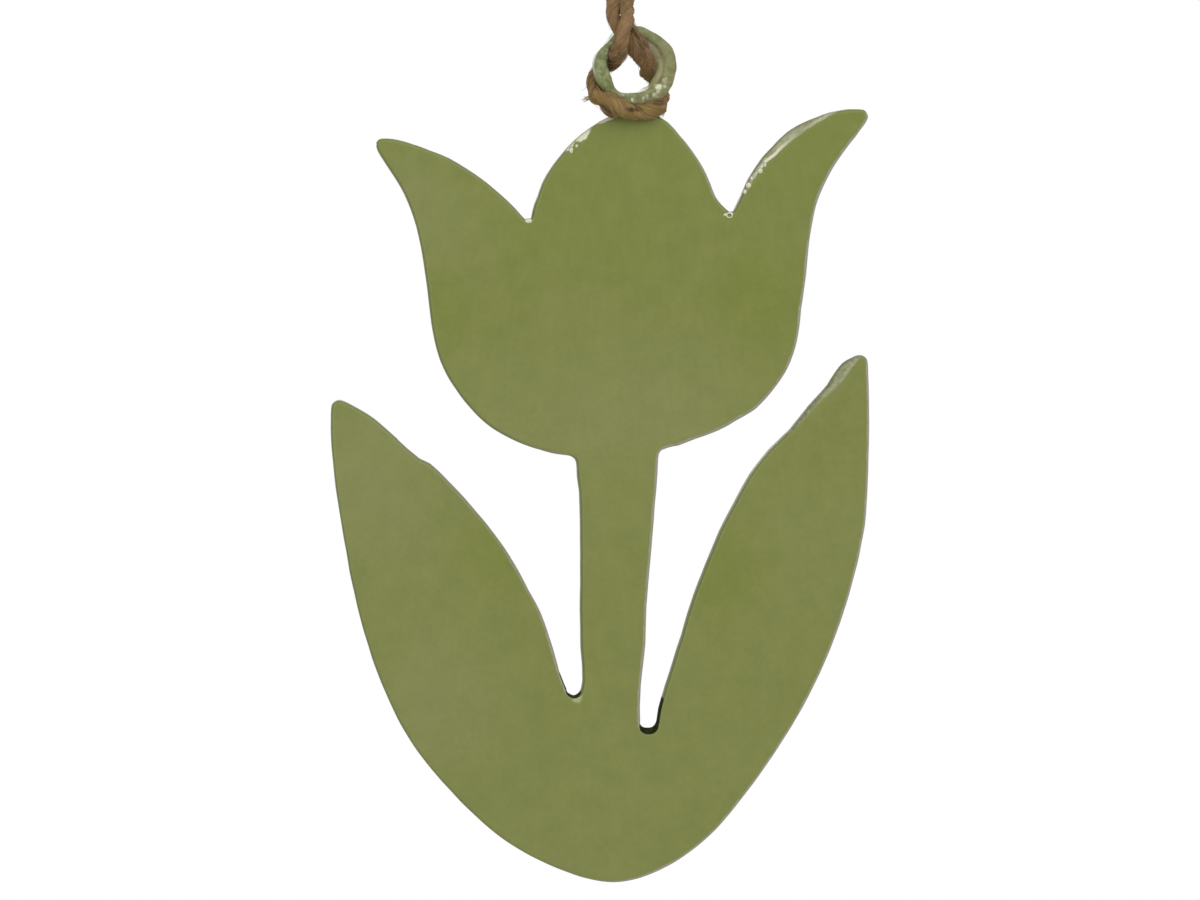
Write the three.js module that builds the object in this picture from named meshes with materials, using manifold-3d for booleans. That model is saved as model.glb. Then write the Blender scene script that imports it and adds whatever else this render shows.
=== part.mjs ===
// A hand-cut steel tulip in green enamel, hung by jute twine from a small ring brazed to its middle petal.
// Millimetres, +Z up. The flower's front faces -Y. The origin is the hang point, where a hook takes the
// weight under the knot of the twine loop.
import * as THREE from 'three';
import { mergeVertices } from 'three/addons/utils/BufferGeometryUtils.js';
import Module from 'manifold-3d';

const wasm = await Module();
wasm.setup();

const { degToRad } = THREE.MathUtils;

// The cut-out: thickness and the enamel's rounded rim.
const plateThickness = 2;
const rimRadius = 0.6;
const outlineStep = 2;

// The flower, measured sideways from the ring's centre line and down from the seat under the ring.
const seatWidth = 3.2;
const rightNotchReach = 11.5;
const rightNotchDepth = 11.9;
const leftNotchReach = 12.2;
const leftNotchDepth = 13.1;
const rightPetalReach = 29.15;
const rightPetalRise = 0.45;
const leftPetalReach = 31.05;
const leftPetalDrop = 3.15;
const flowerDepth = 40;

// The stem and the saw cuts that free it from the leaves.
const stemLeft = 6.8;
const stemRight = 3;
const cutWidth = 1.8;
const rightCutLeft = 0.75;
const rightCutDepth = 72.95;
const leftCutRight = 6.4;
const leftCutDepth = 68.7;

// The leaves.
const rightLeafReach = 27.8;
const rightLeafDrop = 27.7;
const leftLeafReach = 35.4;
const leftLeafDrop = 32.9;
const bodyDepth = 91.1;
const footOffset = -2.3;

// Radii of the outline's corners.
const seatCornerRadius = 5;
const petalTipRadius = 0.85;
const leafTipRadius = 0.95;
const notchRadius = 0.35;
const cutEndRadius = 0.8;
const shoulderRadius = 0.9;

// The hanging ring, cut from tube and turned a little away from the flower's face.
const ringBore = 6.5;
const ringWall = 1.4;
const ringDepth = 2.6;
const ringEdge = 0.35;
const ringTurn = 16;
const ringOffset = 2.7;
const ringSegments = 48;

// The braze between the ring and the petal.
const brazeDepth = 2;
const brazeWidth = 4.4;
const brazeFootWidth = 3;
const brazeThroat = 0.3;
const brazeRingGap = 0.2;
const brazeFootGap = 0.2;

// The twine: a loop, a twisted pair in two lengths, and a hitch round the ring.
const twineDiameter = 1.5;
const hangDrop = 42.2;
const pairRadius = 0.83;
const pairPitch = 18;
const loopThroatDrop = 19.8;
const twistDrop = 26.5;
const tiltDrop = 33.3;
const pairDrift = 1.1;
const pivotGap = 0.45;
const twistGap = 0.4;
const knotDiameter = 4.4;
const knotHeight = 4.2;
const knotRise = 1.85;
const tailRun = 5;

const enamel = new THREE.MeshStandardMaterial({ color: 0x7f8452, roughness: 0.32, metalness: 0 });
const ringEnamel = new THREE.MeshStandardMaterial({ color: 0x878b64, roughness: 0.3, metalness: 0 });
const brazeEnamel = new THREE.MeshStandardMaterial({ color: 0x6c7048, roughness: 0.4, metalness: 0 });
const jute = new THREE.MeshStandardMaterial({ color: 0x7f6145, roughness: 0.95, metalness: 0 });

const group = new THREE.Group();

function place(name, geometry, material, parent = group) {
  const mesh = new THREE.Mesh(geometry, material);
  mesh.name = name;
  parent.add(mesh);
  return mesh;
}

// The plate hangs from its seat, the short level stretch of the middle petal under the ring.
const ringRadius = ringBore / 2 + ringWall;
const seatDrop = hangDrop + ringRadius + brazeRingGap + brazeThroat + brazeFootGap;

// Each stretch of the outline runs clockwise to its corner. Its bulges are [share of the chord, height over
// the chord on its left as a share of its length]; a corner with round 0 is passed smoothly.
const outline = [
  {
    to: [seatWidth / 2, 0],
    round: seatCornerRadius,
    bulges: [],
  },
  {
    to: [rightNotchReach, -rightNotchDepth],
    round: notchRadius,
    bulges: [[0.14, 0.071], [0.3, 0.077], [0.45, 0.072], [0.64, 0.047], [0.84, -0.012]],
  },
  {
    to: [rightPetalReach, rightPetalRise],
    round: petalTipRadius,
    bulges: [[0.075, 0.04], [0.2, 0.111], [0.44, 0.188], [0.62, 0.189], [0.78, 0.138]],
  },
  {
    to: [stemRight, -flowerDepth],
    round: shoulderRadius,
    bulges: [
      [0.1, -0.015], [0.18, -0.019], [0.27, -0.008], [0.36, 0.027], [0.446, 0.072],
      [0.554, 0.125], [0.65, 0.153], [0.75, 0.147], [0.86, 0.102], [0.94, 0.044],
    ],
  },
  {
    to: [rightCutLeft, -rightCutDepth],
    round: cutEndRadius,
    bulges: [[0.34, -0.004], [0.64, -0.008]],
  },
  {
    to: [rightCutLeft + cutWidth, -rightCutDepth],
    round: cutEndRadius,
    bulges: [],
  },
  {
    to: [rightLeafReach, -rightLeafDrop],
    round: leafTipRadius,
    bulges: [
      [0.07, 0.024], [0.16, 0.045], [0.32, 0.079], [0.48, 0.097],
      [0.62, 0.096], [0.71, 0.08], [0.84, 0.052], [0.92, 0.037],
    ],
  },
  {
    to: [footOffset, -bodyDepth],
    round: 0,
    bulges: [
      [0.08, 0.042], [0.16, 0.08], [0.28, 0.129], [0.42, 0.158],
      [0.55, 0.166], [0.66, 0.158], [0.78, 0.137], [0.87, 0.11], [0.95, 0.061],
    ],
  },
  {
    to: [-leftLeafReach, -leftLeafDrop],
    round: leafTipRadius,
    bulges: [
      [0.066, 0.069], [0.165, 0.13], [0.27, 0.164], [0.4, 0.185],
      [0.52, 0.178], [0.65, 0.149], [0.79, 0.101], [0.88, 0.065], [0.95, 0.031],
    ],
  },
  {
    to: [-leftCutRight - cutWidth, -leftCutDepth],
    round: cutEndRadius,
    bulges: [[0.1, 0.045], [0.2, 0.067], [0.31, 0.096], [0.46, 0.112], [0.6, 0.112], [0.72, 0.095], [0.86, 0.06]],
  },
  {
    to: [-leftCutRight, -leftCutDepth],
    round: cutEndRadius,
    bulges: [],
  },
  {
    to: [-stemLeft, -flowerDepth],
    round: shoulderRadius,
    bulges: [[0.15, -0.005], [0.53, -0.002]],
  },
  {
    to: [-leftPetalReach, -leftPetalDrop],
    round: petalTipRadius,
    bulges: [
      [0.04, 0.053], [0.1, 0.105], [0.195, 0.155], [0.29, 0.172], [0.39, 0.169],
      [0.48, 0.141], [0.575, 0.094], [0.67, 0.049], [0.75, 0.019], [0.83, 0.002], [0.91, -0.001],
    ],
  },
  {
    to: [-leftNotchReach, -leftNotchDepth],
    round: notchRadius,
    bulges: [[0.186, 0.083], [0.39, 0.11], [0.636, 0.097], [0.84, 0.053]],
  },
  {
    to: [-seatWidth / 2, 0],
    round: seatCornerRadius,
    bulges: [[0.11, 0.068], [0.3, 0.121], [0.49, 0.137], [0.68, 0.121], [0.87, 0.066]],
  },
];

// The stretches between rounded corners, each as one smooth curve with the radius of the corner at its end.
function stretches() {
  const runs = [];
  let points = null;
  outline.forEach((stretch, index) => {
    const last = outline[(index + outline.length - 1) % outline.length];
    const from = new THREE.Vector3(last.to[0], last.to[1], 0);
    const to = new THREE.Vector3(stretch.to[0], stretch.to[1], 0);
    const chord = to.clone().sub(from);
    const left = new THREE.Vector3(-chord.y, chord.x, 0);
    if (points === null) points = [from];
    for (const [share, height] of stretch.bulges) {
      points.push(from.clone().addScaledVector(chord, share).addScaledVector(left, height));
    }
    points.push(to);
    if (stretch.round > 0) {
      const curve = new THREE.CatmullRomCurve3(points);
      runs.push({ curve, length: curve.getLength(), round: stretch.round });
      points = null;
    }
  });
  return runs;
}

// How far from the corner between two stretches a rounding of its radius touches them, and how far it turns.
function rounding(run, next) {
  const corner = run.curve.getPoint(1);
  const reach = Math.min(run.round, run.length / 2, next.length / 2);
  const back = run.curve.getPointAt(1 - reach / run.length).sub(corner);
  const ahead = next.curve.getPointAt(reach / next.length).sub(corner);
  const turn = Math.PI - back.angleTo(ahead);
  return { trim: run.round * Math.tan(turn / 2), turn };
}

// The whole outline as a shape. Every corner is an arc of its radius, tangent to both its sides.
function cutOutline() {
  const contour = [];
  const runs = stretches();
  const corners = runs.map((run, index) => rounding(run, runs[(index + 1) % runs.length]));
  runs.forEach((run, index) => {
    const next = runs[(index + 1) % runs.length];
    const corner = corners[index];
    const first = corners[(index + runs.length - 1) % runs.length].trim / run.length;
    const last = 1 - corner.trim / run.length;
    const count = Math.max(1, Math.round(((last - first) * run.length) / outlineStep));
    for (let i = 0; i <= count; i++) {
      contour.push(run.curve.getPointAt(first + ((last - first) * i) / count));
    }
    const leave = run.curve.getPointAt(last);
    const arrive = next.curve.getPointAt(corner.trim / next.length);
    const handle = (4 / 3) * Math.tan(corner.turn / 4) * run.round;
    const arc = new THREE.CubicBezierCurve3(
      leave,
      leave.clone().addScaledVector(run.curve.getTangentAt(last), handle),
      arrive.clone().addScaledVector(next.curve.getTangentAt(corner.trim / next.length), -handle),
      arrive,
    );
    const arcSteps = Math.max(2, Math.round((corner.turn * run.round) / 0.35));
    contour.push(...arc.getPoints(Math.min(arcSteps, 7)).slice(1, -1));
  });
  return new THREE.Shape(contour.map((point) => new THREE.Vector2(point.x, point.y)));
}

const plate = new THREE.ExtrudeGeometry(cutOutline(), {
  depth: plateThickness - 2 * rimRadius,
  bevelEnabled: true,
  bevelThickness: rimRadius,
  bevelSize: rimRadius,
  bevelOffset: -rimRadius,
  bevelSegments: 3,
  curveSegments: 1,
});
plate.translate(0, 0, rimRadius - plateThickness / 2);
plate.rotateX(Math.PI / 2);
const tulip = place('tulip_plate', plate, enamel);
tulip.position.set(ringOffset, 0, -seatDrop);

// The ring and its braze share the ring's own turned frame.
const ringGroup = new THREE.Group();
ringGroup.position.set(ringOffset, 0, -hangDrop);
ringGroup.rotation.z = degToRad(ringTurn);
group.add(ringGroup);

// A band with rounded edges, drawn as the closed section that a full turn sweeps.
function bandSection(inner, outer, depth, edge) {
  const section = new THREE.Path();
  const half = depth / 2;
  section.moveTo(inner + edge, -half);
  section.lineTo(outer - edge, -half);
  section.absarc(outer - edge, edge - half, edge, -Math.PI / 2, 0, false);
  section.lineTo(outer, half - edge);
  section.absarc(outer - edge, half - edge, edge, 0, Math.PI / 2, false);
  section.lineTo(inner + edge, half);
  section.absarc(inner + edge, half - edge, edge, Math.PI / 2, Math.PI, false);
  section.lineTo(inner, edge - half);
  section.absarc(inner + edge, edge - half, edge, Math.PI, Math.PI * 1.5, false);
  return section.getPoints(3);
}

const band = new THREE.LatheGeometry(bandSection(ringBore / 2, ringRadius, ringDepth, ringEdge), ringSegments);
place('hanging_ring', band, ringEnamel, ringGroup);

// The braze fills the saddle: concentric with the ring above, level on the seat below, hollow at its sides.
const saddleRadius = ringRadius + brazeRingGap;
const saddleAngle = Math.asin(brazeWidth / 2 / saddleRadius);
const brazeFoot = hangDrop - seatDrop + brazeFootGap;
const brazeShoulder = -saddleRadius * Math.cos(saddleAngle);
const saddle = new THREE.Shape();
saddle.moveTo(-brazeFootWidth / 2, brazeFoot);
saddle.lineTo(brazeFootWidth / 2, brazeFoot);
saddle.quadraticCurveTo(brazeFootWidth / 2, brazeShoulder - brazeThroat, brazeWidth / 2, brazeShoulder);
saddle.absarc(0, 0, saddleRadius, saddleAngle - Math.PI / 2, -saddleAngle - Math.PI / 2, true);
saddle.quadraticCurveTo(-brazeFootWidth / 2, brazeShoulder - brazeThroat, -brazeFootWidth / 2, brazeFoot);
const braze = new THREE.ExtrudeGeometry(saddle, { depth: brazeDepth, bevelEnabled: false, curveSegments: 6 });
braze.translate(0, 0, -brazeDepth / 2);
braze.rotateX(Math.PI / 2);
place('ring_braze', braze, brazeEnamel, ringGroup);

// Twine is a plain round tube along its route.
function twine(points, steps) {
  const section = new THREE.Shape();
  for (let i = 0; i < 8; i++) {
    const angle = (i * Math.PI) / 4;
    const x = (twineDiameter / 2) * Math.cos(angle);
    const y = (twineDiameter / 2) * Math.sin(angle);
    if (i === 0) section.moveTo(x, y);
    else section.lineTo(x, y);
  }
  section.closePath();
  const path = new THREE.CatmullRomCurve3(points);
  return new THREE.ExtrudeGeometry(section, { steps, bevelEnabled: false, extrudePath: path });
}

// A strand of the twisted pair at a height: side 1 starts on the right at the tilt point, side -1 on the left.
function strandPoint(z, side) {
  const phase = (2 * Math.PI * (z + tiltDrop)) / pairPitch;
  const drift = (pairDrift * (z + loopThroatDrop)) / (loopThroatDrop - tiltDrop);
  return new THREE.Vector3(
    drift + side * pairRadius * Math.cos(phase),
    side * pairRadius * Math.sin(phase),
    z,
  );
}

function strand(top, bottom, side) {
  const points = [];
  for (let i = 0; i <= 6; i++) points.push(strandPoint(top + ((bottom - top) * i) / 6, side));
  return twine(points, 5);
}

const upperTop = -loopThroatDrop - pivotGap;
const upperBottom = -twistDrop + twistGap;
const lowerTop = -twistDrop - twistGap;
const lowerBottom = -tiltDrop + pivotGap;
place('upper_strand_front', strand(upperTop, upperBottom, 1), jute);
place('upper_strand_back', strand(upperTop, upperBottom, -1), jute);
place('lower_strand_right', strand(lowerTop, lowerBottom, 1), jute);
place('lower_strand_left', strand(lowerTop, lowerBottom, -1), jute);

// The loop's right side. It comes off the front of the pair, spreads round the hook and closes into the knot.
const loopSide = [
  [0.05, -0.83, -19.35], [0.35, -0.74, -18.2], [0.8, -0.4, -16.8], [1.25, -0.1, -15], [2.6, 0, -11], [3.6, 0, -7],
  [3.5, 0, -4], [2.65, 0, -1.2], [1.5, 0, 0.6], [1.1, 0, 1.55],
];
place('loop_right_side', twine(loopSide.map(([x, y, z]) => new THREE.Vector3(x, y, z)), 11), jute);
place('loop_left_side', twine(loopSide.map(([x, y, z]) => new THREE.Vector3(-x, -y, z)), 11), jute);

// The overhand knot over the hook, with the two cut ends standing out of its top.
function solid(geometry) {
  const plain = geometry.clone();
  plain.deleteAttribute('normal');
  plain.deleteAttribute('uv');
  const merged = mergeVertices(plain, 1e-5);
  return new wasm.Manifold(new wasm.Mesh({
    numProp: 3,
    vertProperties: new Float32Array(merged.attributes.position.array),
    triVerts: new Uint32Array(merged.index.array),
  }));
}

function fromSolid(body) {
  const mesh = body.getMesh();
  const geometry = new THREE.BufferGeometry();
  geometry.setAttribute('position', new THREE.BufferAttribute(mesh.vertProperties, 3));
  geometry.setIndex(new THREE.BufferAttribute(mesh.triVerts, 1));
  geometry.computeVertexNormals();
  return geometry;
}

const knotWrap = new THREE.SphereGeometry(0.5, 16, 12);
knotWrap.rotateX(Math.PI / 2);
knotWrap.scale(knotDiameter, knotDiameter, knotHeight);
knotWrap.translate(0, 0, knotRise + knotHeight / 2);
const tailFoot = knotRise + knotHeight - twineDiameter;
const tailTop = knotRise + knotHeight + tailRun;
const rightTail = twine([
  new THREE.Vector3(0.8, 0, tailFoot),
  new THREE.Vector3(1.2, -0.3, (tailFoot + tailTop) / 2),
  new THREE.Vector3(2.3, -0.6, tailTop),
], 4);
const leftTail = twine([
  new THREE.Vector3(-0.8, 0, tailFoot),
  new THREE.Vector3(-1.1, 0.3, (tailFoot + tailTop) / 2),
  new THREE.Vector3(-1.7, 0.8, tailTop - 1),
], 4);
const knot = solid(knotWrap).add(solid(rightTail)).add(solid(leftTail));
place('loop_knot', fromSolid(knot), jute);

// The lark's head round the ring, from the right strand over the front and through the eye, round the band on
// the left, across the petal, round the band on the right and back through the eye to the left strand.
// Points are from the ring's centre.
const hitchRoute = [
  [-0.77, 0, 8.25], [-0.88, -0.6, 7.3], [-1.08, -1.95, 6.15], [-1.2, -3.55, 5.1], [-1.58, -4.25, 4.15],
  [-1.82, -4.4, 3.3], [-1.95, -4.15, 2.5], [-1.98, -3.22, 1.78], [-1.63, -2.13, 1.2], [-2, -0.99, 0.7],
  [-2.33, -0.04, 0.4], [-2.75, 0.88, 0.1], [-3.57, 1.37, -0.25], [-4.4, 1.18, -0.85],
  [-5.03, 0.85, -1.75], [-4.98, 0.13, -2.65], [-4.66, -0.81, -3.45], [-4.13, -1.76, -4.1],
  [-3.25, -2.44, -4.6], [-2.09, -2.52, -5.05], [-0.77, -2.3, -5.4], [0.48, -2.05, -5.55],
  [1.71, -1.96, -5.45], [2.87, -1.31, -5], [3.44, 1.61, -4.1], [3.73, 2.79, -3.3], [3.55, 3.41, -2.5],
  [2.79, 3.51, -1.75], [2.06, 2.98, -1.2], [1.66, 1.83, -0.75], [1.43, 0.62, -0.1], [0.89, -0.37, 0.74],
  [0.26, -1.17, 1.5], [-0.28, -1.93, 2.08], [-0.95, -2.5, 2.86], [-1.72, -2.82, 3.5], [-2.35, -2.66, 4.4],
  [-2.5, -1.9, 5.27], [-2.52, -0.75, 6.5], [-2.43, 0, 8.25],
];
const hitch = place('twine_hitch', twine(hitchRoute.map(([x, y, z]) => new THREE.Vector3(x, y, z)), 56), jute);
hitch.position.set(ringOffset, 0, -hangDrop);

export default group;
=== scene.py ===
import random
from math import atan2, copysign, cos, degrees, hypot, pi, radians, sin, sqrt

import bmesh
import bpy
import numpy as np
from mathutils import Matrix, Vector, kdtree
from mathutils.geometry import delaunay_2d_cdt
from mathutils.noise import noise


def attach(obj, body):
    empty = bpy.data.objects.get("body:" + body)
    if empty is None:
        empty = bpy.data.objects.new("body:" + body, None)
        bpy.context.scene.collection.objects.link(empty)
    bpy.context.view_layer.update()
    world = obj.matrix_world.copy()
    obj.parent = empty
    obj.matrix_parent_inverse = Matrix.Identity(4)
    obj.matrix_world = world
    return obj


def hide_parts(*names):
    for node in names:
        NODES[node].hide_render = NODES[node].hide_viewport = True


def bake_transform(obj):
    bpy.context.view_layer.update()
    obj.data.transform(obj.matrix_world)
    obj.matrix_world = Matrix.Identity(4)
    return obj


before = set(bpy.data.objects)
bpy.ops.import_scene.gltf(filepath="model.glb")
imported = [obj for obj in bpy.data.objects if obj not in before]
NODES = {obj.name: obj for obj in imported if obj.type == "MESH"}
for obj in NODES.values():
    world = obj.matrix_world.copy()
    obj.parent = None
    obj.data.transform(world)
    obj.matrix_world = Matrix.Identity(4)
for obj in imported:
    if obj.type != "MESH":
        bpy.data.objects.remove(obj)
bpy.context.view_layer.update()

MM = 0.001

# Camera, in millimetres and degrees.
VIEW_AZIMUTH = -6.0
VIEW_ELEVATION = 4.0
VIEW_DISTANCE = 333.0
VIEW_TARGET = Vector((-1.3, 0.0, -87.14))
LENS = 84.9

# The twine's route, as part.mjs has it, in millimetres.
PAIR_RADIUS = 0.83
PAIR_PITCH = 18.0
PAIR_DRIFT = 1.1
PAIR_HEIGHTS = [-20.4 - 1.1 * i for i in range(12)]
THROAT_DROP = 19.8
TILT_DROP = 33.3
RING_CENTRE = Vector((2.7, 0, -42.2))
LOOP_SIDE = [
    (0.05, -0.83, -19.35), (0.35, -0.74, -18.2), (0.8, -0.4, -16.8), (1.25, -0.1, -15), (2.6, 0, -11), (3.6, 0, -7),
    (3.5, 0, -4), (2.65, 0, -1.2), (1.5, 0, 0.6), (1.1, 0, 1.55),
]
HITCH_ROUTE = [
    (-0.77, 0, 8.25), (-0.88, -0.6, 7.3), (-1.08, -1.95, 6.15), (-1.2, -3.55, 5.1), (-1.58, -4.25, 4.15),
    (-1.82, -4.4, 3.3), (-1.95, -4.15, 2.5), (-1.98, -3.22, 1.78), (-1.63, -2.13, 1.2), (-2, -0.99, 0.7),
    (-2.33, -0.04, 0.4), (-2.75, 0.88, 0.1), (-3.57, 1.37, -0.25), (-4.4, 1.18, -0.85), (-5.03, 0.85, -1.75),
    (-4.98, 0.13, -2.65), (-4.66, -0.81, -3.45), (-4.13, -1.76, -4.1), (-3.25, -2.44, -4.6), (-2.09, -2.52, -5.05),
    (-0.77, -2.3, -5.4), (0.48, -2.05, -5.55), (1.71, -1.96, -5.45), (2.87, -1.31, -5), (3.44, 1.61, -4.1),
    (3.73, 2.79, -3.3), (3.55, 3.41, -2.5), (2.79, 3.51, -1.75), (2.06, 2.98, -1.2), (1.66, 1.83, -0.75),
    (1.43, 0.62, -0.1), (0.89, -0.37, 0.74), (0.26, -1.17, 1.5), (-0.28, -1.93, 2.08), (-0.95, -2.5, 2.86),
    (-1.72, -2.82, 3.5), (-2.35, -2.66, 4.4), (-2.5, -1.9, 5.27), (-2.52, -0.75, 6.5), (-2.43, 0, 8.25),
]
# One strand's way through the knot, from the loop's right side to its cut end.
KNOT_ROUTE = [
    (0.85, 0.1, 2.6), (0.7, 0.1, 3.7), (0.85, -0.15, 4.8), (1.3, -0.95, 5.2), (-0.15, -1.68, 4.9), (-1.5, -0.7, 4.5),
    (-1.35, 0.95, 4.1), (0.15, 1.68, 3.7), (1.5, 0.7, 3.3), (1.4, -0.5, 3.1), (0.55, -0.85, 3.5), (0.2, -0.8, 4.5),
    (0.45, -0.65, 5.7), (0.85, -0.4, 7), (1.3, -0.35, 8.6), (2.2, -0.55, 10.9),
]
ROUTE_STEP = 0.15
ROUTE_PIECES = 24

# The twine's three plies.
PLIES = 3
PLY_GAP = 2 * pi / PLIES
PLY_OFFSET = 0.2
PLY_RADIUS = 0.57
PLY_PITCH = 7.0
FULLNESS = 1.05
STREAK_HEIGHT = 0.05
LUMP_HEIGHT = 0.06
# Where the soft twine sags or is pressed aside: a point from the ring's centre, how far it reaches, the shift.
PRESSED = [
    ((-4.8, 0.3, -2.4), 2.6, (0.55, 0.1, 0)), ((-3.3, -2.2, -4.5), 2, (0.2, -0.25, 0.42)),
    ((1.2, 0.2, 0.3), 2.4, (0.3, 0, 0.15)), ((-1.6, -3.6, 4.6), 2.4, (0.1, 0.25, 0)),
    ((-1.9, -1.8, 1.2), 2.2, (-0.55, 0, 0.3)), ((2.2, -1.6, -5.3), 2.2, (0, 0.1, 0.26)),
    ((2.4, 3, -1.5), 1.9, (0.25, 0, 0.3)), ((3.2, 0.2, -4.6), 2.2, (-0.42, 0, 0.05)),
    ((-2.5, -0.3, 7.3), 1.6, (0.14, 0, 0)), ((-0.8, -0.4, 7.3), 1.6, (-0.14, 0, 0)),
]
# Where the twine is fuller than usual: a point from the ring's centre, how far it reaches, how much.
FULLER = [
    ((-4.6, -0.6, -3.4), 2.8, 0.3), ((-2.6, -2.4, -4.9), 2.4, 0.16), ((0.6, -2, -5.5), 2.6, 0.12),
    ((0.6, -0.8, 1), 2.6, 0.46), ((-1.9, -1.8, 1.2), 2.2, 0.5), ((1.6, 0.8, -0.2), 1.8, 0.22),
    ((3.2, 1, -4.3), 2, 0.15), ((2.2, -1.6, -5.3), 2.2, 0.26), ((-1.65, -0.2, 7.4), 2.6, 0.22),
    ((-2.1, -2.4, -5.2), 1.7, 0.36),
]
# Painted shade on the twine's front, in its folds and gaps and where the ring shades it: x and z from the ring's
# centre, half width, half height, how much.
SHADE_PATCHES = [
    (-0.45, -5.25, 1.4, 0.34, 1), (2.6, -4.4, 1.1, 0.5, 1), (-3, 0.1, 0.9, 1, 0.75), (-4.5, -2.6, 0.3, 1.2, 0.3),
    (0.5, 1.9, 0.9, 1.2, 0.5), (1.6, 0.9, 0.5, 0.9, 0.35), (-1.5, 6.9, 0.25, 1.4, 0.6), (-3.6, -4.9, 0.6, 0.3, 0.4),
    (-2.5, -3.7, 1.5, 0.5, 0.45), (2, -5.4, 1.4, 0.4, 0.3),
]
FRONT_DEPTH = 0.8
CREASE_SHADE = 0.42

# The ring's section and how it strays from a round one.
RING_TURNED = Matrix.Rotation(radians(16.0), 3, "Z")
RING_MIDDLE = 3.98
RING_WALL = 1.44
RING_HALF = 1.3
RING_EDGE = 0.42
RING_OVAL = 0.17
RING_SHIFT = 0.22
RING_SINK = 0.14
RING_THICKER = 0.22
RING_TILT = radians(14.0)
# Where the ring's hand-cut outside and bore leave the round: degrees round it, outward shift of each.
RING_HAND = [(57, -0.3, 0), (143, -0.5, 0), (200, 0, -0.25), (232, 0, 0.26), (262, 0, -0.2), (292, 0, -0.33)]
HAND_REACH = 32


def rgb(*levels):
    """A colour written as 0 to 255 as the render reads it."""
    shares = [level / 255 for level in levels]
    return (*(s / 12.92 if s <= 0.04045 else ((s + 0.055) / 1.055) ** 2.4 for s in shares), 1.0)


def link_object(name, data):
    obj = bpy.data.objects.new(name, data)
    bpy.context.scene.collection.objects.link(obj)
    return obj


def metres(points):
    return [tuple(float(c) * MM for c in p) for p in points]


def mesh_object(name, verts, faces, smooth=True, **series):
    """A mesh piece from points in millimetres, with named numbers or triples at its points."""
    mesh = bpy.data.meshes.new(name)
    mesh.from_pydata(metres(verts), [], faces)
    mesh.validate()
    if smooth:
        mesh.polygons.foreach_set("use_smooth", [True] * len(mesh.polygons))
    mesh.update()
    for key, values in series.items():
        triples = isinstance(values[0], tuple)
        made = mesh.attributes.new(key, "FLOAT_VECTOR" if triples else "FLOAT", "POINT")
        made.data.foreach_set("vector" if triples else "value", np.array(values, np.float32).ravel())
    return link_object(name, mesh)


def tube_faces(rings, around, base=0):
    """The quads between rings of points, each ring closed on itself."""
    corners = ((0, 0), (0, 1), (1, 1), (1, 0))
    return [
        tuple(base + (r + up) * around + (k + on) % around for up, on in corners)
        for r in range(rings) for k in range(around)
    ]


def outward(obj, merge=None):
    """Turns the piece's faces outward, after points nearer than merge have become one."""
    mesh = bmesh.new()
    mesh.from_mesh(obj.data)
    if merge:
        bmesh.ops.remove_doubles(mesh, verts=mesh.verts, dist=merge)
    bmesh.ops.recalc_face_normals(mesh, faces=mesh.faces)
    mesh.to_mesh(obj.data)
    mesh.free()
    return obj


def hill(gap):
    """A soft hill over a gap: 1 in its middle, 0 from a gap of 1 on."""
    return (1 - gap * gap) ** 2 if abs(gap) < 1 else 0.0


# Camera

def make_camera():
    data = bpy.data.cameras.new("camera")
    data.sensor_fit = "HORIZONTAL"
    data.sensor_width = 36.0
    data.lens = LENS
    data.clip_start = 0.01
    data.clip_end = 20.0
    obj = link_object("camera", data)
    azimuth, elevation = radians(VIEW_AZIMUTH), radians(VIEW_ELEVATION)
    level = cos(elevation)
    away = Vector((sin(azimuth) * level, -cos(azimuth) * level, sin(elevation)))
    obj.location = (VIEW_TARGET + away * VIEW_DISTANCE) * MM
    obj.rotation_euler = (-away).to_track_quat("-Z", "Y").to_euler()
    bpy.context.scene.camera = obj


make_camera()


# Twine

def strand_point(z, side):
    phase = 2 * pi * (z + TILT_DROP) / PAIR_PITCH
    drift = PAIR_DRIFT * (z + THROAT_DROP) / (THROAT_DROP - TILT_DROP)
    return Vector((drift + side * PAIR_RADIUS * cos(phase), side * PAIR_RADIUS * sin(phase), z))


def turned(points, side):
    return [Vector((side * x, side * y, z)) for x, y, z in points]


def twine_route():
    """The whole twine, from its right cut end down to the hitch and up to its left one."""
    route = turned(KNOT_ROUTE, 1)[::-1] + turned(LOOP_SIDE, 1)[::-1]
    route += [strand_point(z, 1) for z in PAIR_HEIGHTS]
    route += [RING_CENTRE + Vector(p) for p in HITCH_ROUTE]
    route += [strand_point(z, -1) for z in reversed(PAIR_HEIGHTS)]
    return route + turned(LOOP_SIDE, -1) + turned(KNOT_ROUTE, -1)


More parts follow.
